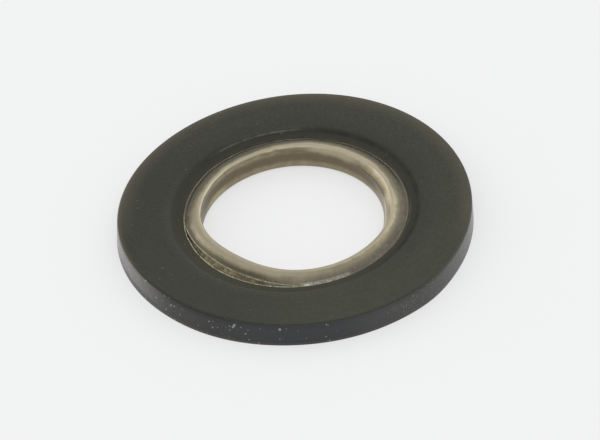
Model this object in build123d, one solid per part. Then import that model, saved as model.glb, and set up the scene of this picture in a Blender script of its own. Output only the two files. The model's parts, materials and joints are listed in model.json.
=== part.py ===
from build123d import *
import math
import os

# Rubber washer lined by a metal eyelet. Millimetres, +Z up.
# The origin is on the washer's axis, in the plane that it lies on.
# Sections are drawn as (distance from the axis, height) and turned about Z.

# Rubber disc
disc_diameter = 38.0  # at the foot of the outer wall
disc_thickness = 2.5
rim_draft = 0.16  # how far the outer wall leans in towards its top
rim_round = 0.12  # both edges of the outer wall
dish_depth = 0.3  # pressed ring round the eyelet, below the upper face
dish_land = 0.75  # flat of the pressed ring that the eyelet leaves bare
dish_run = 0.8  # width of the soft step between ring and face

# Metal eyelet, formed from sheet; each bend is the radius on the rubber's side
bore_diameter = 19.2
sheet = 0.3
flange_width = 2.35  # from the bore wall to the edge of either flange
crown_rise = 0.28  # crown above the disc's upper face
flank_drop = 0.7  # upper flange's edge below the crown
foot_bend = 0.25  # barrel to lower flange
bell_bend = 1.75  # barrel to bell mouth
bell_angle = 20.0  # lean of the bell mouth where the crown begins
ridge_bend = 0.1  # crown

# Fits
barrel_clearance = 0.05  # between the barrel and the rubber round it
flange_clearance = 0.1  # between the flange's edge and the rubber round it

disc_radius = disc_diameter / 2
bore_radius = bore_diameter / 2
barrel_radius = bore_radius + sheet
flange_radius = bore_radius + flange_width
hole_radius = barrel_radius + barrel_clearance
seat_radius = flange_radius + flange_clearance
land_radius = seat_radius + dish_land
face_radius = land_radius + dish_run
ring_height = disc_thickness - dish_depth
crown_height = disc_thickness + crown_rise


def on_bend(centre, radius, degrees):
    """Point of a bend, in the section plane."""
    angle = math.radians(degrees)
    return (centre[0] + radius * math.cos(angle), centre[1] + radius * math.sin(angle))


def eyelet_bends():
    """Centres of the four bends, with the size of the flank that ends at the flange's edge."""
    lean = math.radians(bell_angle)
    bell_start = crown_height - sheet - ridge_bend - (bell_bend - ridge_bend) * math.sin(lean)
    foot = (barrel_radius + foot_bend, sheet + foot_bend)
    bell = (barrel_radius + bell_bend, bell_start)
    ridge = on_bend(bell, bell_bend - ridge_bend, 180 - bell_angle)
    width = flange_radius - ridge[0]
    flank_bend = (width**2 + flank_drop**2) / (2 * flank_drop) - sheet
    flank_angle = math.degrees(2 * math.atan2(flank_drop, width))
    flank = (ridge[0], crown_height - sheet - flank_bend)
    return foot, bell, ridge, flank, flank_bend, flank_angle


def sheet_side(depth):
    """One side of the formed sheet: depth is 0 against the rubber and the thickness on the open side."""
    foot, bell, ridge, flank, flank_bend, flank_angle = eyelet_bends()
    wall = barrel_radius - depth
    base = sheet - depth
    return [
        Line((flange_radius, base), (foot[0], base)),
        CenterArc(foot, foot_bend + depth, 270, -90),
        Line((wall, foot[1]), (wall, bell[1])),
        CenterArc(bell, bell_bend + depth, 180, -bell_angle),
        CenterArc(ridge, ridge_bend + depth, 180 - bell_angle, bell_angle - 90),
        CenterArc(flank, flank_bend + depth, 90, -flank_angle),
    ]


def eyelet_section():
    """Sheet of even thickness with cut edges: foot flange, barrel, bell mouth, crown and curled flange."""
    open_side = sheet_side(sheet)
    rubber_side = sheet_side(0)
    foot_edge = Line(open_side[0] @ 0, rubber_side[0] @ 0)
    curled_edge = Line(open_side[-1] @ 1, rubber_side[-1] @ 1)
    return make_face(Curve() + open_side + rubber_side + [foot_edge, curled_edge])


def soft_step(high, low):
    """S-shaped step of two equal arcs, level at both ends."""
    middle = ((high[0] + low[0]) / 2, (high[1] + low[1]) / 2)
    return [TangentArc(high, middle, tangent=(-1, 0)), TangentArc(low, middle, tangent=(1, 0))]


def disc_section():
    """Flat washer whose faces step down to the eyelet's two seats."""
    flank, flank_bend, flank_angle = eyelet_bends()[3:]
    web_top = on_bend(flank, flank_bend, 90 - flank_angle)[1]
    upper_face = (face_radius, disc_thickness)
    upper_ring = (land_radius, ring_height)
    lower_face = (face_radius, 0)
    lower_ring = (land_radius, sheet)
    hole_foot = (hole_radius, sheet)
    seat = [(seat_radius, ring_height), (seat_radius, web_top), (hole_radius, web_top), hole_foot]
    wall = Polyline(upper_face, (disc_radius - rim_draft, disc_thickness), (disc_radius, 0), lower_face)
    inside = Polyline(upper_ring, *seat, lower_ring)
    steps = soft_step(upper_face, upper_ring) + soft_step(lower_face, lower_ring)
    section = make_face(Curve() + [wall, inside] + steps)
    section = fillet(section.vertices().sort_by(Axis.X)[-2:], rim_round)
    return fillet(section.vertices().sort_by_distance(hole_foot)[0], foot_bend - barrel_clearance)


def turned(section):
    """Ring made by turning a section about the washer's axis."""
    return revolve(Plane.XZ * section, Axis.Z)


rubber_disc = turned(disc_section())
metal_eyelet = turned(eyelet_section())

os.makedirs("parts", exist_ok=True)
export_step(rubber_disc, "parts/rubber_disc.step")
export_step(metal_eyelet, "parts/metal_eyelet.step")
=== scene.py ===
import functools
import json
import math

import bpy
from mathutils import Matrix, Vector, noise


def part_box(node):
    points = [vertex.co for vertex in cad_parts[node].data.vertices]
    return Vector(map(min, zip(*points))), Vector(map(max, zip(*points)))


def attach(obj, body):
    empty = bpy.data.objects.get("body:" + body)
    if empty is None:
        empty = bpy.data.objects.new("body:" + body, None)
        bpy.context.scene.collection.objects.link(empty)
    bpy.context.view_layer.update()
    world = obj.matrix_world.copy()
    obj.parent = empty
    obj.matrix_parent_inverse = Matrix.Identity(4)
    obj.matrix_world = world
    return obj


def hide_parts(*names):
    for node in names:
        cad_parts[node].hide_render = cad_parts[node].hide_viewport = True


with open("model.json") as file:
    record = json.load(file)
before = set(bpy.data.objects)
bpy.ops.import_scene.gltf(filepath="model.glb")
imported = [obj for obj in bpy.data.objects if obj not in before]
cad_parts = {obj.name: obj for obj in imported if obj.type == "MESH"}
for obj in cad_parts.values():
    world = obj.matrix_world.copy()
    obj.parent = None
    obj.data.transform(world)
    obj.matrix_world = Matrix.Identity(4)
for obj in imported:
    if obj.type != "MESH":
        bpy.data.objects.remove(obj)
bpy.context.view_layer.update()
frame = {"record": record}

# Rubber washer lined by a metal eyelet, as it lay in the photograph. Metres, in the CAD frame.
# A section is a list of (distance from the axis, height, finish), anticlockwise round the material;
# the finish is that of the strip which starts at the point.
# Azimuths are degrees about +Z: 0 is to the camera's right and -90 is nearest to the camera.

mm = 0.001

# ---------------------------------------------------------------- sizes
disc_low, disc_high = (Vector(corner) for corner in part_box("rubber_disc"))
eyelet_low, eyelet_high = (Vector(corner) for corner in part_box("metal_eyelet"))
bore = next(m for m in frame["record"]["mounts"] if m["name"] == "bore")

thickness = disc_high.z - disc_low.z
crown_height = eyelet_high.z
bore_radius = bore["dims"]["r_mm"] * mm
flange_radius = eyelet_high.x

sheet = 0.3 * mm  # thickness of the eyelet's metal
barrel_radius = bore_radius + sheet  # its outer side

# Rubber disc
rim_radius = 18.85 * mm  # mean, at the top of the outer wall
rim_round = 0.14 * mm
foot_round = 0.08 * mm
dish_depth = 0.3 * mm
dish_gap = 0.1 * mm  # from the flange to the dish's flat
dish_land = 0.75 * mm  # width of that flat
dish_run = 0.8 * mm  # width of the slope from it up to the face
face_radius = flange_radius + dish_gap + dish_land + dish_run
seat_radius = flange_radius + 0.02 * mm  # the rubber's lip is drawn up to the flange
hole_radius = barrel_radius + 0.2 * mm  # wider than the barrel, but the bell mouth runs into it on the right
lip_round = 0.16 * mm
ring_height = thickness - dish_depth  # the dish's flat
web_top = ring_height - 0.34 * mm  # rubber under the curled flange
fit_gap = 0.05 * mm  # the rubber's foot round is this much smaller than the eyelet's bend
foot_seat = 0.1 * mm  # where the rubber begins to lie on the foot flange, past that bend
rim_lobes = ((3, 0.17 * mm, 64), (2, 0.04 * mm, -41), (1, 0.07 * mm, -65))  # count, height, azimuth of a peak
rim_corner = (-46, 7, 0.12 * mm)  # azimuth, half-width, height
foot_spread = (-120, 14, 0.15 * mm)  # the same, for the wall's foot
lean_mean = 0.10 * mm  # how far the wall's foot stands out beyond its top
lean_swing = 0.12 * mm  # and how much that changes round the disc
lean_towards = -155  # azimuth where it is most

# Eyelet
foot_bend = 0.25 * mm
bell_bend = 1.75 * mm
bell_angle = 20
ridge_bend = 0.1 * mm
flank_drop = 0.70 * mm
foot_push = Vector((-0.35, -0.05, 0)) * mm  # the foot and barrel sit off the crown's centre
push_top = 2.0 * mm  # height up to which they are pushed in full
push_end = 0.02 * mm  # and how far below the crown's top it ends
curl_width = 0.7 * mm  # the curled flange isn't pushed beyond this distance from the barrel
curl_depth = 0.4 * mm  # and the push fades out below it over this height
crown_growth = 0.18 * mm  # how far the crown spreads beyond its drawn place
crown_swing = 0.18 * mm  # and how far it lies off centre, towards the camera
crown_towards = -90
crown_dents = (  # azimuth, half-width, move outwards
    (-133, 23, -0.74 * mm),
    (-62, 18, 0.07 * mm),
    (-22, 13, 0.20 * mm),
    (-172, 13, 0.15 * mm),
    (86, 14, 0.06 * mm),
    (114, 7, -0.10 * mm),
)
ridge_waves = (108, 26, 0.10 * mm)  # azimuth, half-width, height: the ridge is uneven at the back
barrel_dents = ((-178, 14, 0.10 * mm), (132, 24, -0.10 * mm))
flange_dents = ((-85, 45, 0.17 * mm),)

# Flange's cut edge
edge_bead = 0.15 * mm  # its width
bead_wander = 0.3  # and how much of that width comes and goes
bead_lift = 0.035 * mm  # height of its burr on the near side
edge_droop = 0.02 * mm  # how far it turns down elsewhere
edge_wave = 0.02 * mm  # rise and fall of the edge round the ring
edge_under = 0.05 * mm  # depth of the edge's outer side
edge_slope = 0.1 * mm  # how far the sheet slopes in below that
flange_base = web_top + 0.01 * mm  # underside of the curled flange

# Split along that edge
split_start = -182  # azimuths of its two ends
split_end = -88
split_width = 0.85 * mm  # where it is widest
split_depth = 0.12 * mm
full_opening = 0.2 * mm  # a split this wide has its full depth and lift
leaf_lift = 0.10 * mm  # the inner edge of the split stands up
tuck = 0.2 * mm  # how far inside that edge the flange's hidden side meets the rubber
least_floor = 0.04 * mm  # metal left below the split
least_step = 0.01 * mm  # the strip and the leaf keep this width where the split is closed
burr_middle = -135  # azimuth
burr_reach = (44, 58)  # degrees each side with a full burr, and with any

# The outline isn't quite round, so the washer lies a little off the CAD's axis to stay in its box.
set_over = Vector((0.24, 0.075, 0)) * mm

turns = 900  # facets round each ring
chip_azimuth = -88.1  # bright chip in the flange's near edge
chip_reach = 0.02 * mm  # its middle, beyond the flange's own radius
chart_length = 25 * mm  # section length that fills the surface chart
chart_start = 5 * mm  # and how much of it comes before the section's highest point
sharp_angle = 50  # faces that meet at more than this show an edge

RUBBER, WALL, METAL, BURR, TORN = range(5)


# ---------------------------------------------------------------- section tools
def smooth_step(low, high, value):
    """0 below low, 1 above high, and an S between them."""
    t = min(max((value - low) / (high - low), 0.0), 1.0)
    return t * t * (3 - 2 * t)


def bump(azimuth, centre, half_width):
    """Bell curve round an azimuth, 1 at its centre."""
    away = (azimuth - centre + 180) % 360 - 180
    return math.exp(-0.5 * (away / half_width) ** 2)


def pressed(dents, azimuth):
    """Move outwards that a list of dents gives at an azimuth."""
    return sum(move * bump(azimuth, centre, half_width) for centre, half_width, move in dents)


def arc(centre, radius, start, stop, steps, finish):
    """Points of an arc, both ends included."""
    points = []
    for i in range(steps + 1):
        angle = math.radians(start + (stop - start) * i / steps)
        points.append((centre[0] + radius * math.cos(angle), centre[1] + radius * math.sin(angle), finish))
    return points


def run(start, stop, steps, finish):
    """Points of a straight run, without its last one."""
    points = []
    for i in range(steps):
        t = i / steps
        points.append((start[0] + (stop[0] - start[0]) * t, start[1] + (stop[1] - start[1]) * t, finish))
    return points


def ess(start, stop, steps, finish):
    """Points of an S-shaped step, level at both ends, without its last one."""
    points = []
    for i in range(steps):
        t = i / steps
        rise = smooth_step(0, 1, t)
        points.append((start[0] + (stop[0] - start[0]) * t, start[1] + (stop[1] - start[1]) * rise, finish))
    return points


def wander(azimuth, period, seed):
    """Smooth closed random curve round the ring, about -1 to 1; period is in degrees."""
    angle = math.radians(azimuth)
    reach = 360 / period / (2 * math.pi)
    return 1.6 * noise.noise(Vector((reach * math.cos(angle), reach * math.sin(angle), seed)))


# ---------------------------------------------------------------- rubber disc
def rim_lean(azimuth):
    lean = lean_mean + lean_swing * math.cos(math.radians(azimuth - lean_towards))
    return lean + foot_spread[2] * bump(azimuth, *foot_spread[:2])


def rim_growth(azimuth):
    """How far the top of the outer wall stands from its mean radius."""
    growth = sum(high * math.cos(math.radians(n * (azimuth - peak))) for n, high, peak in rim_lobes)
    return growth + rim_corner[2] * bump(azimuth, *rim_corner[:2])


def disc_section(azimuth):
    """Flat washer whose faces step down to the eyelet's two seats."""
    top = rim_radius + rim_growth(azimuth)
    foot = top + rim_lean(azimuth)
    face = face_radius
    land = face - dish_run
    seat = seat_radius + pressed(flange_dents, azimuth)
    upper = (top - rim_round, thickness - rim_round)
    lower = (foot - foot_round, foot_round)
    points = arc(lower, foot_round, -90, 0, 5, WALL)[:-1]
    points += run((foot, foot_round), (top, thickness - rim_round), 6, WALL)
    points += arc(upper, rim_round, 0, 90, 6, WALL)[:-1]
    points += run((top - rim_round, thickness), (face, thickness), 10, RUBBER)
    points += ess((face, thickness), (land, ring_height), 12, RUBBER)
    points += run((land, ring_height), (seat + lip_round, ring_height), 4, RUBBER)
    points += arc((seat + lip_round, ring_height - lip_round), lip_round, 90, 180, 4, RUBBER)
    points += run((seat, web_top), (hole_radius, web_top), 4, RUBBER)
    points += run((hole_radius, web_top), (hole_radius, sheet + foot_bend), 3, RUBBER)
    points += arc((barrel_radius + foot_bend, sheet + foot_bend), foot_bend - fit_gap, 180, 270, 5, RUBBER)
    points += run((barrel_radius + foot_bend + foot_seat, sheet), (land, sheet), 3, RUBBER)
    points += ess((land, sheet), (face, 0), 10, RUBBER)
    points += run((face, 0), (foot - foot_round, 0), 6, RUBBER)
    return points


# ---------------------------------------------------------------- eyelet
def crown_shift(azimuth):
    swing = crown_swing * math.cos(math.radians(azimuth - crown_towards))
    waves = ridge_waves[2] * bump(azimuth, *ridge_waves[:2]) * wander(azimuth, period=8, seed=7)
    return crown_growth + swing + pressed(crown_dents, azimuth) + waves


def split_opening(azimuth):
    """Width of the split along the flange's edge."""
    t = (azimuth - split_start) % 360 / (split_end - split_start)
    if not 0 < t < 1:
        return 0.0
    return split_width * math.sin(math.pi * t) ** 1.2


def flank(ridge, edge, steps, finish):
    """Arc that leaves the ridge level and falls to the edge, from the edge inwards."""
    width = edge[0] - ridge[0]
    drop = ridge[1] - edge[1]
    radius = (width**2 + drop**2) / (2 * drop)
    angle = math.degrees(2 * math.atan2(drop, width))
    return arc((ridge[0], ridge[1] - radius), radius, 90 - angle, 90, steps, finish)


def burr_share(azimuth):
    away = abs((azimuth - burr_middle + 180) % 360 - 180)
    return 1 - smooth_step(*burr_reach, away)


def bead(inner, outer, height, burr, share=1.0):
    """Cut edge, from its outer side inwards: a raised burr, or turned down where there is none.

    The share flattens it, down to a level strip at 0.
    """
    middle = (inner + outer) / 2
    half = (outer - inner) / 2
    points = []
    for angle in (0, 45, 90, 135, 180):
        turn = math.radians(angle)
        rise = bead_lift * burr * math.sin(turn) - edge_droop * (1 - burr) * (1 + math.cos(turn)) / 2
        points.append((middle + half * math.cos(turn), height + rise * share, BURR))
    return points


def split_edge(azimuth, rim):
    """Flange's edge, the strip in its split and the leaf behind it, with the leaf's two sides."""
    opening = split_opening(azimuth)
    open_share = smooth_step(0, full_opening, opening)
    strip_inner = rim - edge_bead * (1 + bead_wander * wander(azimuth, period=7, seed=3))
    edge_height = crown_height - flank_drop + edge_wave * wander(azimuth, period=11, seed=5)
    leaf_outer = min(rim - max(opening, edge_bead), strip_inner - least_step)
    leaf_inner = leaf_outer - max(edge_bead * open_share, least_step)
    leaf_height = edge_height + leaf_lift * open_share
    floor = max(edge_height - max(split_depth * open_share, least_step), flange_base + least_floor)
    points = bead(strip_inner, rim, edge_height, burr_share(azimuth))
    points += run((strip_inner, floor), (leaf_outer, floor), 3, TORN)
    points += bead(leaf_inner, leaf_outer, leaf_height, 1, open_share)[:-1]
    return points, leaf_outer, (leaf_inner, leaf_height)


def bends(azimuth):
    """Centres of the bends at the ridge, the bell mouth and the foot, and the barrel's outer radius."""
    lean = math.radians(bell_angle)
    reach = bell_bend - ridge_bend
    bell_start = crown_height - sheet - ridge_bend - reach * math.sin(lean)
    bell = (barrel_radius + bell_bend + crown_shift(azimuth), bell_start)
    ridge = (bell[0] - reach * math.cos(lean), bell[1] + reach * math.sin(lean))
    barrel = barrel_radius + pressed(barrel_dents, azimuth)
    foot = (barrel + foot_bend, sheet + foot_bend)
    return ridge, bell, foot, barrel


def open_side(ridge, bell, foot, barrel, leaf):
    """The sheet's bare side, from the leaf over the crown and down the bore to the foot flange."""
    points = flank((ridge[0], crown_height), leaf, 16, METAL)[:-1]
    points += arc(ridge, ridge_bend + sheet, 90, 180 - bell_angle, 8, METAL)[:-1]
    points += arc(bell, bell_bend + sheet, 180 - bell_angle, 180, 8, METAL)[:-1]
    points += run((bell[0] - bell_bend - sheet, bell[1]), (barrel - sheet, foot[1]), 5, METAL)
    points += arc(foot, foot_bend + sheet, 180, 270, 10, METAL)[:-1]
    points += run((foot[0], 0), (flange_radius, 0), 3, METAL)
    return points


def rubber_side(ridge, bell, foot, leaf_outer):
    """The sheet's side against the rubber, from the foot flange back up to the curled one."""
    points = run((flange_radius, 0), (flange_radius, sheet), 1, METAL)
    points += run((flange_radius, sheet), (foot[0], sheet), 2, METAL)
    points += arc(foot, foot_bend, 270, 180, 6, METAL)
    points += arc(bell, bell_bend, 180, 180 - bell_angle, 3, METAL)[:-1]
    points += arc(ridge, ridge_bend, 180 - bell_angle, 90, 3, METAL)
    points += flank((ridge[0], crown_height - sheet), (leaf_outer - tuck, flange_base), 5, METAL)[-2::-1]
    return points


def eyelet_section(azimuth):
    """Formed sheet: curled flange with its split, crown, bell mouth, barrel and foot flange."""
    rim = flange_radius + pressed(flange_dents, azimuth)
    ridge, bell, foot, barrel = bends(azimuth)
    points, leaf_outer, leaf = split_edge(azimuth, rim)
    edge_foot = (rim, points[0][1] - edge_under)
    points += open_side(ridge, bell, foot, barrel, leaf)
    points += rubber_side(ridge, bell, foot, leaf_outer)
    points += run((rim - edge_slope, flange_base), edge_foot, 1, METAL)
    return points


def eyelet_place(x, y, z):
    """Foot and barrel sit off centre, and the bell mouth leans over between them and the crown."""
    pushed = 1 - smooth_step(push_top, crown_height - push_end, z)
    outer = smooth_step(barrel_radius, barrel_radius + curl_width, math.hypot(x, y))
    curled = smooth_step(web_top - curl_depth, web_top, z) * outer
    return Vector((x, y, z)) + foot_push * pushed * (1 - curled)


def disc_place(x, y, z):
    """The rubber round the barrel is pushed over with it."""
    share = 1 - smooth_step(hole_radius, seat_radius, math.hypot(x, y))
    return Vector((x, y, z)) + foot_push * share


# ---------------------------------------------------------------- meshes
def chart_heights(section):
    """Place of each section point, and of the closing one, in the chart: 0 to 1 along the section."""
    loop = section + section[:1]
    lengths = [0.0]
    for here, there in zip(loop, loop[1:]):
        lengths.append(lengths[-1] + math.hypot(there[0] - here[0], there[1] - here[1]))
    top = max(range(len(section)), key=lambda j: (round(section[j][1] / mm, 4), -j))
    return [(length - lengths[top] + chart_start) / chart_length for length in lengths]


def add_chart(mesh, heights):
    """Surface chart: the azimuth runs across it and the section up it."""
    chart = mesh.uv_layers.new(name="chart").data
    count = len(heights[0]) - 1
    for i in range(turns):
        for j in range(count):
            corner = 4 * (i * count + j)
            ends = heights[i], heights[(i + 1) % turns]
            chart[corner].uv = (i / turns, ends[0][j])
            chart[corner + 1].uv = ((i + 1) / turns, ends[1][j])
            chart[corner + 2].uv = ((i + 1) / turns, ends[1][j + 1])
            chart[corner + 3].uv = (i / turns, ends[0][j + 1])


def lathe(name, section_at, place, materials):
    """Ring whose section changes with the azimuth; every section has the same number of points."""
    verts = []
    heights = []
    for i in range(turns):
        azimuth = 360 * i / turns - 180
        angle = math.radians(azimuth)
        section = section_at(azimuth)
        heights.append(chart_heights(section))
        for radius, height, finish in section:
            point = place(radius * math.cos(angle), radius * math.sin(angle), height)
            verts.append(point + set_over)
    count = len(section)
    faces = []
    finishes = []
    for i in range(turns):
        here = i * count
        there = (i + 1) % turns * count
        for j in range(count):
            k = (j + 1) % count
            faces.append((here + j, there + j, there + k, here + k))
            finishes.append(section[j][2])
    mesh = bpy.data.meshes.new(name)
    mesh.from_pydata(verts, [], faces)
    used = sorted(set(finishes))
    for finish in used:
        mesh.materials.append(materials[finish])
    mesh.polygons.foreach_set("material_index", [used.index(finish) for finish in finishes])
    mesh.polygons.foreach_set("use_smooth", [True] * len(faces))
    mesh.set_sharp_from_angle(angle=math.radians(sharp_angle))
    add_chart(mesh, heights)
    piece = bpy.data.objects.new(name, mesh)
    bpy.context.scene.collection.objects.link(piece)
    return piece


# ---------------------------------------------------------------- materials
class Shade:
    """A material's node tree, with short ways to add nodes."""

    def __init__(self, name):
        self.material = bpy.data.materials.new(name)
        self.material.use_nodes = True
        self.tree = self.material.node_tree
        self.surface = self.tree.nodes["Principled BSDF"]
        coords = self.node("ShaderNodeTexCoord")
        self.place = coords.outputs["Object"]
        self.x, self.y, self.z = self.node("ShaderNodeSeparateXYZ", Vector=self.place).outputs
        self.chart = self.node("ShaderNodeSeparateXYZ", Vector=coords.outputs["UV"]).outputs

    def node(self, kind, **sockets):
        node = self.tree.nodes.new(kind)
        for key, value in sockets.items():
            self.feed(node.inputs[key.replace("_", " ")], value)
        return node

    def feed(self, socket, value):
        if isinstance(value, bpy.types.NodeSocket):
            self.tree.links.new(value, socket)
        else:
            socket.default_value = value

    def math(self, operation, first, second=0.0):
        node = self.node("ShaderNodeMath")
        node.operation = operation
        self.feed(node.inputs[0], first)
        self.feed(node.inputs[1], second)
        return node.outputs[0]

    def total(self, *values):
        return functools.reduce(lambda first, second: self.math("ADD", first, second), values)

    def both(self, *values):
        return functools.reduce(lambda first, second: self.math("MULTIPLY", first, second), values)

    def less(self, value):
        """What is left of 1."""
        return self.math("SUBTRACT", 1.0, value)

    def ramp(self, value, low, high, start=0.0, end=1.0):
        """Smooth step of a value between low and high."""
        node = self.node("ShaderNodeMapRange", Value=value)
        node.interpolation_type = "SMOOTHSTEP"
        self.feed(node.inputs["From Min"], low)
        self.feed(node.inputs["From Max"], high)
        self.feed(node.inputs["To Min"], start)
        self.feed(node.inputs["To Max"], end)
        return node.outputs["Result"]

    def noise(self, size, detail=2.0, roughness=0.5, seed=0.0):
        """Noise whose lumps are about size across."""
        node = self.node("ShaderNodeTexNoise", Scale=1 / size, Detail=detail, Roughness=roughness)
        node.noise_dimensions = "4D"
        self.feed(node.inputs["W"], seed)
        self.feed(node.inputs["Vector"], self.place)
        return node.outputs["Fac"]

    def mix(self, share, first, second):
        """Colour mix."""
        node = self.node("ShaderNodeMix")
        node.data_type = "RGBA"
        self.feed(node.inputs["Factor"], share)
        self.feed(node.inputs[6], first)
        self.feed(node.inputs[7], second)
        return node.outputs[2]

    def between(self, share, first, second):
        """Plain number between two values."""
        node = self.node("ShaderNodeMix")
        node.data_type = "FLOAT"
        self.feed(node.inputs["Factor"], share)
        self.feed(node.inputs[2], first)
        self.feed(node.inputs[3], second)
        return node.outputs[0]

    def along(self):
        """Distance along the section from its highest point, positive on the bore's side."""
        return self.math("SUBTRACT", self.math("MULTIPLY", self.chart[1], chart_length), chart_start)

    def from_axis(self):
        return self.math("SUBTRACT", self.x, set_over.x), self.math("SUBTRACT", self.y, set_over.y)

    def radius(self):
        """Distance from the washer's axis."""
        east, north = self.from_axis()
        return self.math("SQRT", self.total(self.both(east, east), self.both(north, north)))

    def towards(self, azimuth, full, none):
        """1 within full degrees of an azimuth and 0 beyond none degrees."""
        angle = math.radians(azimuth)
        east, north = self.from_axis()
        along = self.total(self.both(east, math.cos(angle)), self.both(north, math.sin(angle)))
        cosine = self.math("DIVIDE", along, self.radius())
        return self.ramp(cosine, math.cos(math.radians(none)), math.cos(math.radians(full)))

    def band(self, value, centre, half, soft):
        """1 within half of a centre, fading to 0 over soft."""
        away = self.math("ABSOLUTE", self.math("SUBTRACT", value, centre))
        return self.ramp(away, half, half + soft, 1.0, 0.0)

    def specks(self, spacing, size, share, seed):
        """Round specks of about the given size; share of the cells that have one may be a socket."""
        shifted = self.node("ShaderNodeVectorMath")
        shifted.operation = "ADD"
        self.feed(shifted.inputs[0], self.place)
        self.feed(shifted.inputs[1], (seed, 2 * seed, 3 * seed))
        cells = self.node("ShaderNodeTexVoronoi", Vector=shifted.outputs[0], Scale=1 / spacing)
        chance = self.node("ShaderNodeSeparateColor", Color=cells.outputs["Color"]).outputs
        chosen = self.math("LESS_THAN", chance[0], share)
        reach = self.both(self.between(chance[1], 0.25, 0.6), size / spacing)
        dot = self.ramp(cells.outputs["Distance"], self.both(reach, 0.55), reach, 1.0, 0.0)
        return self.both(chosen, dot)

    def bumps(self, height, distance):
        node = self.node("ShaderNodeBump", Height=height, Distance=distance)
        self.tree.links.new(node.outputs["Normal"], self.surface.inputs["Normal"])

    def set(self, **sockets):
        for key, value in sockets.items():
            self.feed(self.surface.inputs[key.replace("_", " ")], value)


def fine_grain(shade):
    return shade.ramp(shade.noise(0.2 * mm, 3.0, 0.6), 0.25, 0.75)


def worn_rim(shade, colour, along):
    """Brown stain along the rim on the far side."""
    rim = shade.both(shade.band(along, 0.0, 0.12 * mm, 0.35 * mm), shade.towards(120, 60, 110))
    return shade.mix(shade.both(rim, 0.4), colour, (0.12, 0.095, 0.065, 1))


def face_tone(shade, colour):
    """Darker on the left and inwards on the far right by painted shade, paler and browner towards the far
    rim.
    """
    radius = shade.radius()
    # painted shade: darker on the left
    left = shade.both(shade.towards(-160, 35, 78), shade.ramp(radius, 13.5 * mm, 14.6 * mm))
    colour = shade.mix(shade.both(left, 0.28), colour, (0.010, 0.013, 0.008, 1))
    # painted shade: the dish's shade carried outwards on the far right
    inner = shade.both(shade.towards(50, 80, 125), shade.ramp(radius, 13.4 * mm, 16.2 * mm, 0.30, 0.0))
    colour = shade.mix(inner, colour, (0.010, 0.013, 0.007, 1))
    outer = shade.both(shade.towards(80, 85, 112), shade.ramp(radius, 16.6 * mm, 19.2 * mm, 0.0, 0.45))
    return shade.mix(outer, colour, (0.135, 0.115, 0.082, 1))


def dish_marks(shade, colour):
    """Dark dish with a ring of painted shade on the right, thin pale lines along its lip that are partly dust
    and partly painted highlight, and a painted highlight on the rubber's rounded edge at the flange.
    """
    radius = shade.radius()
    near = shade.towards(-100, 45, 85)
    dish = shade.ramp(radius, 13.0 * mm, 13.55 * mm, shade.between(near, 0.5, 0.3), 0.0)
    floor = shade.mix(near, (0.012, 0.013, 0.004, 1), (0.026, 0.020, 0.006, 1))
    colour = shade.mix(dish, colour, floor)
    # painted shade: a darker ring where the dish's slope faces away from the light on the right
    ring = shade.both(shade.band(radius, 13.0 * mm, 0.12 * mm, 0.25 * mm), shade.towards(15, 45, 80))
    uneven = shade.ramp(shade.noise(1.6 * mm, 3.0, 0.6, 27.0), 0.3, 0.65, 0.15, 0.75)
    colour = shade.mix(shade.both(ring, uneven), colour, (0.004, 0.005, 0.001, 1))
    seat = shade.ramp(radius, flange_radius + 0.1 * mm, flange_radius + 0.5 * mm, 0.6, 0.0)
    colour = shade.mix(seat, colour, (0.030, 0.024, 0.010, 1))
    broken = shade.ramp(shade.noise(0.7 * mm, 3.0, 0.6, 11.0), 0.3, 0.6, 0.3, 1.0)
    # partly dust, partly painted highlight along the dish's lip
    far_line = shade.both(shade.band(radius, 13.1 * mm, 0.02 * mm, 0.12 * mm), shade.towards(107, 12, 26))
    halo = shade.both(shade.band(radius, 13.3 * mm, 0.1 * mm, 0.3 * mm), shade.towards(98, 10, 26))
    near_line = shade.both(shade.band(radius, 13.35 * mm, 0.03 * mm, 0.14 * mm), shade.towards(-120, 25, 50))
    dust = shade.total(shade.both(far_line, 0.4), shade.both(halo, 0.12), shade.both(near_line, 0.16))
    colour = shade.mix(shade.both(dust, broken), colour, (0.17, 0.175, 0.15, 1))
    # painted highlight on the rubber's rounded edge beside the flange
    lip_highlight = shade.ramp(radius, flange_radius + 0.02 * mm, flange_radius + 0.17 * mm, 0.8, 0.0)
    colour = shade.mix(shade.both(lip_highlight, broken), colour, (0.092, 0.086, 0.064, 1))
    rubbed = shade.ramp(radius, flange_radius + 0.2 * mm, flange_radius + 0.45 * mm, 0.5, 0.0)
    rubbed = shade.both(rubbed, shade.towards(-50, 30, 60), broken)
    return shade.mix(rubbed, colour, (0.14, 0.12, 0.10, 1))


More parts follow.
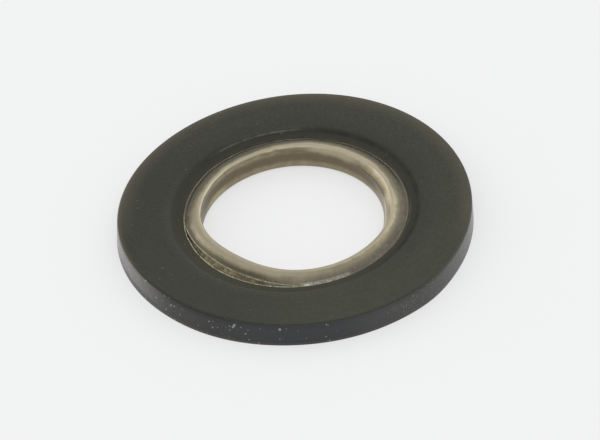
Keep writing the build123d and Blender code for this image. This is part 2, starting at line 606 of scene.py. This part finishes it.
def rubber():
    """Faces: matt olive black, fine grained and faintly mottled, a little paler on the near side by painted
    sheen, with painted shade along the near rim.
    """
    shade = Shade("rubber")
    grain = fine_grain(shade)
    cloud = shade.noise(3.5 * mm, 3.0, 0.55, 7.0)
    colour = shade.mix(grain, (0.017, 0.019, 0.010, 1), (0.056, 0.059, 0.038, 1))
    colour = shade.mix(shade.ramp(cloud, 0.35, 0.7, 0.0, 0.35), colour, (0.027, 0.028, 0.019, 1))
    mottle = shade.ramp(shade.noise(0.8 * mm, 2.0, 0.5, 31.0), 0.3, 0.7)
    colour = shade.mix(0.35, colour, shade.mix(mottle, (0.028, 0.042, 0.021, 1), (0.044, 0.035, 0.028, 1)))
    # painted sheen: the face is made paler towards the near side
    near = shade.ramp(shade.y, -16 * mm, 16 * mm, 0.2, 0.0)
    colour = shade.mix(near, colour, (0.075, 0.078, 0.050, 1))
    colour = worn_rim(shade, dish_marks(shade, face_tone(shade, colour)), shade.along())
    # painted shade: darker along the near rim's edge
    lip = shade.both(shade.band(shade.along(), 0.0, 0.08 * mm, 0.3 * mm), shade.towards(-102, 46, 62))
    colour = shade.mix(shade.both(lip, 0.6), colour, (0.004, 0.005, 0.003, 1))
    dust = shade.specks(0.42 * mm, 0.22 * mm, 0.03, 0.31)
    colour = shade.mix(shade.both(dust, 0.12), colour, (0.5, 0.5, 0.5, 1))
    shade.set(Base_Color=colour, Roughness=0.62, Specular_IOR_Level=0.35)
    shade.bumps(grain, 0.02 * mm)
    return shade.material


def rubber_wall():
    """Outer wall: greyer and smoother, a painted shade line under the near rim, a painted blue-tinted
    reflection at the front, a pale tone at the sides that is partly dust and partly painted sheen, a brown
    foot, pale dust in clusters.
    """
    shade = Shade("rubber_wall")
    along = shade.along()
    grain = fine_grain(shade)
    colour = shade.mix(grain, (0.0130, 0.0135, 0.0118, 1), (0.0290, 0.0300, 0.0272, 1))
    # painted shade: a dark band just under the near rim
    under = shade.both(shade.band(along, -0.1 * mm, 0.3 * mm, 0.35 * mm), shade.towards(-102, 46, 62))
    colour = shade.mix(shade.both(under, 0.7), colour, (0.004, 0.004, 0.003, 1))
    # painted reflection: a blue tint on the front of the wall
    bluish_reflection = shade.towards(-88, 12, 35)
    colour = shade.mix(shade.both(bluish_reflection, 0.6), colour, (0.016, 0.023, 0.027, 1))
    # partly dust, partly painted sheen where the wall is seen edge-on at the left and right
    sheen_and_dust = shade.total(shade.towards(-175, 3, 38), shade.both(shade.towards(-25, 30, 60), 0.2))
    # painted shade: the pale tone is left off the lowest part of the wall at the left, where it meets the
    # floor
    rubbed = shade.both(shade.ramp(along, -1.65 * mm, -2.1 * mm), shade.towards(-170, 17, 34))
    colour = shade.mix(shade.both(sheen_and_dust, shade.less(rubbed)), colour, (0.145, 0.138, 0.124, 1))
    foot = shade.ramp(along, -2.15 * mm, -2.45 * mm)
    foot = shade.both(foot, shade.less(rubbed), 0.6)
    colour = shade.mix(foot, colour, (0.085, 0.055, 0.040, 1))
    colour = worn_rim(shade, colour, along)
    cluster = shade.ramp(shade.noise(2.2 * mm, 1.0, 0.5, 21.0), 0.35, 0.6, 0.15, 1.0)
    where = shade.both(shade.towards(-120, 24, 54), cluster)
    fine = shade.specks(0.40 * mm, 0.22 * mm, shade.both(where, 0.4), 0.31)
    coarse = shade.specks(0.8 * mm, 0.38 * mm, shade.both(where, 0.45), 0.47)
    torn = shade.ramp(shade.noise(0.12 * mm, 2.0, 0.6, 51.0), 0.35, 0.55)
    dust = shade.math("MAXIMUM", shade.both(fine, 0.5), shade.both(coarse, torn, 0.9))
    scuff = shade.specks(0.26 * mm, 0.2 * mm, shade.both(shade.towards(-53, 3, 12), 0.7), 0.63)
    dust = shade.math("MAXIMUM", dust, shade.both(scuff, 0.18))
    colour = shade.mix(dust, colour, (0.40, 0.43, 0.45, 1))
    shade.set(Base_Color=colour, Roughness=0.2, Specular_IOR_Level=0.5)
    shade.bumps(grain, 0.02 * mm)
    return shade.material


def fleck(shade):
    """Share of a bright chip in the near edge, wider than it is deep."""
    angle = math.radians(chip_azimuth)
    reach = flange_radius + chip_reach
    east, north = shade.from_axis()
    east = shade.math("SUBTRACT", east, reach * math.cos(angle))
    north = shade.math("SUBTRACT", north, reach * math.sin(angle))
    away = shade.math("SQRT", shade.total(shade.both(east, east, 0.35), shade.both(north, north, 2.5)))
    ragged = shade.both(shade.math("SUBTRACT", shade.noise(0.15 * mm, 2.0, 0.6, 41.0), 0.5), 0.3 * mm)
    return shade.ramp(shade.total(away, ragged), 0.08 * mm, 0.26 * mm, 1.0, 0.0)


def edge_finish(shade, colour, fine):
    """Outer edge of the flange: dull dirt, painted lighter at the far left where it lies in shade, scuffed on
    the near right, a pale line along the near edge that is partly scuff and partly painted highlight, and the
    rest bare metal.
    """
    upper = shade.ramp(shade.z, 1.0 * mm, 1.4 * mm)
    scuffed = shade.towards(-48, 35, 72)
    patches = shade.noise(0.5 * mm, 4.0, 0.65, 17.0)
    ragged = shade.both(shade.math("SUBTRACT", patches, 0.5), 0.4 * mm)
    radius = shade.total(shade.radius(), ragged)
    starts = shade.between(scuffed, flange_radius - 0.42 * mm, flange_radius - 1.0 * mm)
    dirty = shade.ramp(radius, starts, flange_radius - 0.05 * mm)
    dirty = shade.both(dirty, upper, shade.less(shade.towards(-135, 42, 56)))
    pale = shade.mix(shade.ramp(patches, 0.35, 0.65), (0.138, 0.123, 0.090, 1), (0.190, 0.169, 0.126, 1))
    # painted light: the dirt is paler at the far left, where the flank's end lies in shade
    dim = shade.mix(shade.towards(140, 14, 28), (0.112, 0.102, 0.077, 1), (0.150, 0.137, 0.103, 1))
    colour = shade.mix(dirty, colour, shade.mix(scuffed, dim, pale))
    # partly scuff, partly painted highlight: a pale line along the near edge
    line = shade.both(shade.band(shade.radius(), flange_radius, 0.11 * mm, 0.14 * mm), upper)
    broken = shade.ramp(shade.noise(0.2 * mm, 2.0, 0.6, 61.0), 0.4, 0.58, 0.2, 1.0)
    line = shade.both(line, shade.towards(-78, 9, 15), broken)
    colour = shade.mix(line, colour, (0.42, 0.41, 0.33, 1))
    chip = shade.both(fleck(shade), upper)
    colour = shade.mix(chip, colour, (0.62, 0.63, 0.57, 1))
    worn = shade.ramp(fine, 0.2, 0.8, 0.28, 0.41)
    dull = shade.math("MAXIMUM", dirty, shade.math("MAXIMUM", line, chip))
    shade.set(Base_Color=colour, Roughness=shade.between(dull, worn, 0.6), Metallic=shade.less(dull))


def polished_sheet(shade, along, fine):
    """Dulled brass colour, brighter where it was burnished or rubbed, the burnished ridge band partly a
    painted highlight, and painted highlights inside the bell mouth and along the ridge at the right and far
    right.
    """
    blotch = shade.ramp(shade.noise(0.9 * mm, 4.0, 0.65, 9.0), 0.35, 0.7)
    tan = shade.mix(blotch, (0.272, 0.236, 0.157, 1), (0.333, 0.292, 0.198, 1))
    burnished = shade.mix(fine, (0.43, 0.385, 0.28, 1), (0.565, 0.505, 0.365, 1))
    # partly worn-bright metal, partly a painted highlight along the ridge
    colour = shade.mix(shade.band(along, 0.02 * mm, 0.10 * mm, 0.32 * mm), tan, burnished)
    rubbed = shade.both(shade.towards(-135, 30, 70), shade.band(along, -0.4 * mm, 0.25 * mm, 0.4 * mm), 0.6)
    colour = shade.mix(rubbed, colour, burnished)
    # painted highlights inside the bell mouth at the far right and the right, and along the ridge at the
    # right
    highlights = shade.both(shade.towards(62, 8, 22), shade.band(along, 0.55 * mm, 0.25 * mm, 0.25 * mm), 0.55)
    right = shade.both(shade.towards(-14, 12, 24), shade.band(along, 0.6 * mm, 0.7 * mm, 0.4 * mm), 0.8)
    ridge = shade.both(shade.towards(24, 40, 56), shade.band(along, -0.03 * mm, 0.14 * mm, 0.2 * mm), 0.65)
    highlight_colour = shade.mix(fine, (0.52, 0.46, 0.325, 1), (0.62, 0.55, 0.395, 1))
    highlights = shade.math("MAXIMUM", highlights, shade.math("MAXIMUM", right, ridge))
    return shade.mix(highlights, colour, highlight_colour)


def tarnished_flank(shade, along, fine, colour):
    """Darker down the flank from below the ridge, partly tarnish and partly painted shade where the flank
    turns away, with painted shade in the crease at the near left.
    """
    # partly tarnish, partly painted shade where the flank turns away from the light
    tarnish = shade.mix(shade.ramp(fine, 0.35, 0.65), (0.10, 0.092, 0.064, 1), (0.18, 0.162, 0.112, 1))
    near = shade.towards(-110, 40, 95)
    starts = shade.between(near, -0.15 * mm, -0.55 * mm)
    ends = shade.between(near, -0.85 * mm, -1.6 * mm)
    # painted shade: the darkening starts sooner on the far side
    back = shade.both(shade.towards(114, 20, 42), -0.13 * mm)
    colour = shade.mix(shade.ramp(shade.total(along, back), starts, ends), colour, tarnish)
    # painted shade in the crease by the leaf's edge at the near left
    crease = shade.both(shade.band(along, -1.27 * mm, 0.08 * mm, 0.22 * mm), shade.towards(-145, 27, 42))
    return shade.mix(shade.both(crease, 0.55), colour, (0.055, 0.048, 0.032, 1))


def painted_bore_light(shade, along, colour):
    """Painted reflections in the bore: darker brown bands and a pale patch at the far left, and a painted
    contact shadow line at its foot.
    """
    # painted reflection: darker brown bands where the bore and bell mouth face the dark front
    dark_reflection = shade.band(along, 1.48 * mm, 0.25 * mm, 0.6 * mm)
    dark_reflection = shade.both(dark_reflection, shade.less(shade.towards(-10, 18, 36)), 0.8)
    bell = shade.both(shade.towards(25, 8, 24), shade.band(along, 0.95 * mm, 0.3 * mm, 0.25 * mm), 0.6)
    colour = shade.mix(shade.math("MAXIMUM", dark_reflection, bell), colour, (0.143, 0.109, 0.073, 1))
    # painted reflection: a pale patch on the bore's far left wall
    spot = shade.both(shade.towards(147, 4, 12), shade.band(along, 2.3 * mm, 0.2 * mm, 0.3 * mm), 0.6)
    colour = shade.mix(spot, colour, (0.44, 0.41, 0.24, 1))
    # painted contact shadow: a dark line at the bore's foot, where it meets the floor
    foot = shade.band(shade.along(), 3.22 * mm, 0.1 * mm, 0.12 * mm)
    return shade.mix(shade.both(foot, 0.8), colour, (0.060, 0.036, 0.032, 1))


def tan_metal():
    """Dulled brass-coloured sheet: burnished on the ridge, tarnished down the flank, satin in the bore, with
    painted highlights, painted shade and painted reflections laid over these.
    """
    shade = Shade("eyelet_metal")
    drift = shade.both(shade.math("SUBTRACT", shade.noise(1.6 * mm, 3.0, 0.6, 2.0), 0.5), 0.5 * mm)
    along = shade.total(shade.along(), drift)
    fine = shade.noise(0.18 * mm, 3.0, 0.65, 5.0)
    colour = polished_sheet(shade, along, fine)
    colour = tarnished_flank(shade, along, fine, colour)
    colour = painted_bore_light(shade, along, colour)
    edge_finish(shade, colour, fine)
    shade.bumps(fine, 0.010 * mm)
    return shade.material


def worn_edge():
    """Sheared edge: bare and bright along the split, dirty elsewhere."""
    shade = Shade("worn_edge")
    fine = shade.noise(0.25 * mm, 3.0, 0.65, 15.0)
    colour = shade.mix(shade.ramp(fine, 0.35, 0.65), (0.20, 0.18, 0.12, 1), (0.50, 0.47, 0.35, 1))
    edge_finish(shade, colour, fine)
    shade.bumps(fine, 0.02 * mm)
    return shade.material


def torn_strip():
    """Dirty strip in the split: olive and gold with brown patches, grey green at its right end."""
    shade = Shade("torn_strip")
    lumps = shade.noise(0.26 * mm, 3.0, 0.7, 4.0)
    flecks = shade.specks(0.3 * mm, 0.2 * mm, 0.4, 0.17)
    patches = shade.ramp(shade.noise(0.75 * mm, 2.0, 0.5, 6.0), 0.48, 0.6)
    colour = shade.mix(shade.ramp(lumps, 0.35, 0.62), (0.075, 0.062, 0.032, 1), (0.25, 0.215, 0.110, 1))
    colour = shade.mix(shade.both(flecks, 0.4), colour, (0.45, 0.37, 0.20, 1))
    colour = shade.mix(shade.both(patches, 0.7), colour, (0.085, 0.056, 0.034, 1))
    colour = shade.mix(shade.towards(-96, 11, 16), colour, (0.22, 0.22, 0.175, 1))
    shadow = shade.band(shade.radius(), flange_radius - 0.17 * mm, 0.05 * mm, 0.07 * mm)
    colour = shade.mix(shade.both(shadow, shade.towards(-163, 8, 14)), colour, (0.012, 0.010, 0.007, 1))
    shade.set(Base_Color=colour, Roughness=shade.ramp(lumps, 0.2, 0.8, 0.4, 0.65), Metallic=0.4)
    shade.bumps(lumps, 0.05 * mm)
    return shade.material


# ---------------------------------------------------------------- studio
floor_size = 6.0
floor_gap = 0.002 * mm  # keeps the floor clear of the washer's flat underside
floor_roughness = 0.9
floor_colour = (0.88, 0.885, 0.885, 1)
floor_white = (0.936, 0.939, 0.941, 1)  # what the camera sees where no shadow falls
floor_lift = 0.62  # share of that white; the rest keeps the shadow
camera_aim = Vector((0.35, 1.0, 0)) * mm + set_over
camera_distance = 1.126
camera_elevation = 40.77
camera_roll = 5.78  # the top of the picture leans to the right
camera_lens = 636.7
camera_sensor = 36.0
softbox_side = 1.0
softbox_distance = 1.3
softboxes = (  # name, azimuth, elevation, radiance
    ("back_right", 45, 38, 0.67),
    ("back_left", 155, 20, 1.0),
    ("front_top", -90, 62, 0.61),
)
world_strength = 0.72


def floor_material():
    """Pale and matt, and partly self-lit for the camera and for reflections, so that it reads as white."""
    material = bpy.data.materials.new("floor")
    material.use_nodes = True
    tree = material.node_tree
    surface = tree.nodes["Principled BSDF"]
    surface.inputs["Base Color"].default_value = floor_colour
    surface.inputs["Roughness"].default_value = floor_roughness
    surface.inputs["Specular IOR Level"].default_value = 0.0
    lit = tree.nodes.new("ShaderNodeEmission")
    lit.inputs["Color"].default_value = floor_white
    path = tree.nodes.new("ShaderNodeLightPath")
    seen = tree.nodes.new("ShaderNodeMath")
    seen.operation = "MAXIMUM"
    tree.links.new(path.outputs["Is Camera Ray"], seen.inputs[0])
    tree.links.new(path.outputs["Is Glossy Ray"], seen.inputs[1])
    share = tree.nodes.new("ShaderNodeMath")
    share.operation = "MULTIPLY"
    share.inputs[1].default_value = floor_lift
    tree.links.new(seen.outputs[0], share.inputs[0])
    blend = tree.nodes.new("ShaderNodeMixShader")
    tree.links.new(share.outputs[0], blend.inputs[0])
    tree.links.new(surface.outputs[0], blend.inputs[1])
    tree.links.new(lit.outputs[0], blend.inputs[2])
    tree.links.new(blend.outputs[0], tree.nodes["Material Output"].inputs["Surface"])
    return material


def add_floor():
    """Plain pale floor."""
    half = floor_size / 2
    mesh = bpy.data.meshes.new("floor")
    corners = [(x, y, -floor_gap) for x, y in ((-half, -half), (half, -half), (half, half), (-half, half))]
    mesh.from_pydata(corners, [], [(0, 1, 2, 3)])
    mesh.materials.append(floor_material())
    floor = bpy.data.objects.new("floor", mesh)
    bpy.context.scene.collection.objects.link(floor)


def add_softbox(name, azimuth, elevation, radiance):
    """Square soft light that looks at the washer."""
    turn = math.radians(azimuth)
    climb = math.radians(elevation)
    aim = Vector((math.cos(climb) * math.cos(turn), math.cos(climb) * math.sin(turn), math.sin(climb)))
    light = bpy.data.lights.new(name, "AREA")
    light.shape = "SQUARE"
    light.size = softbox_side
    light.energy = radiance * math.pi * softbox_side**2
    lamp = bpy.data.objects.new(name, light)
    lamp.location = aim * softbox_distance
    lamp.rotation_euler = (-aim).to_track_quat("-Z", "Y").to_euler()
    lamp.visible_camera = False
    bpy.context.scene.collection.objects.link(lamp)


def light_world(strength):
    """Even pale surround, white where the camera looks straight at it."""
    world = bpy.data.worlds.new("world")
    world.use_nodes = True
    tree = world.node_tree
    background = tree.nodes["Background"]
    path = tree.nodes.new("ShaderNodeLightPath")
    level = tree.nodes.new("ShaderNodeMix")
    level.data_type = "FLOAT"
    tree.links.new(path.outputs["Is Camera Ray"], level.inputs["Factor"])
    level.inputs[2].default_value = strength
    level.inputs[3].default_value = 1.0
    tree.links.new(level.outputs[0], background.inputs["Strength"])
    background.inputs["Color"].default_value = (1, 1, 1, 1)
    bpy.context.scene.world = world


def add_camera():
    """Long lens, from the photograph's side."""
    camera = bpy.data.cameras.new("camera")
    camera.lens = camera_lens
    camera.sensor_width = camera_sensor
    camera.clip_start = 0.01
    holder = bpy.data.objects.new("camera", camera)
    elevation = math.radians(camera_elevation)
    back = Vector((0, -math.cos(elevation), math.sin(elevation)))
    look = (-back).to_track_quat("-Z", "Y").to_matrix()
    roll = Matrix.Rotation(math.radians(-camera_roll), 3, "Z")
    holder.matrix_world = Matrix.Translation(camera_aim + back * camera_distance) @ (look @ roll).to_4x4()
    bpy.context.scene.collection.objects.link(holder)
    bpy.context.scene.camera = holder


def build():
    finishes = {
        RUBBER: rubber(),
        WALL: rubber_wall(),
        METAL: tan_metal(),
        BURR: worn_edge(),
        TORN: torn_strip(),
    }
    disc = lathe("disc", disc_section, disc_place, finishes)
    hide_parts("rubber_disc")
    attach(disc, "root")
    eyelet = lathe("eyelet", eyelet_section, eyelet_place, finishes)
    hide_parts("metal_eyelet")
    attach(eyelet, "root")


build()
add_floor()
light_world(world_strength)
for softbox in softboxes:
    add_softbox(*softbox)
add_camera()
bpy.context.scene.view_settings.view_transform = "Standard"
